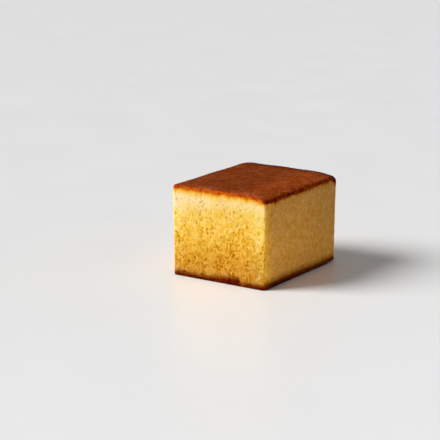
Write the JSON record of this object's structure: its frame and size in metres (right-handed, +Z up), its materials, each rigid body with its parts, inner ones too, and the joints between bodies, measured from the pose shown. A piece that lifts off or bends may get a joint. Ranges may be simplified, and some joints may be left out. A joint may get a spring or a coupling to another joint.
{
  "type": "castella sponge cake",
  "caption": "Block of golden sponge loaf with a browned top and base, cut square on its sides and ends.",
  "frame": {"origin": "middle of the flat base, at the height of the surface that the cake stands on", "axes": "+X across the cut face, +Y along the loaf away from the front cut face, +Z up"},
  "size_m": [0.0648, 0.0804, 0.0549],
  "materials": {
    "sponge": "soft matt golden sponge crumb with fine open pores",
    "top_crust": "thin evenly browned skin with a fine leathery grain and a faint satin sheen",
    "base_crust": "dark browned matt skin with a ragged edge to the crumb"
  },
  "bodies": {
    "root": {"castella": "sponge"}
  },
  "joints": []
}
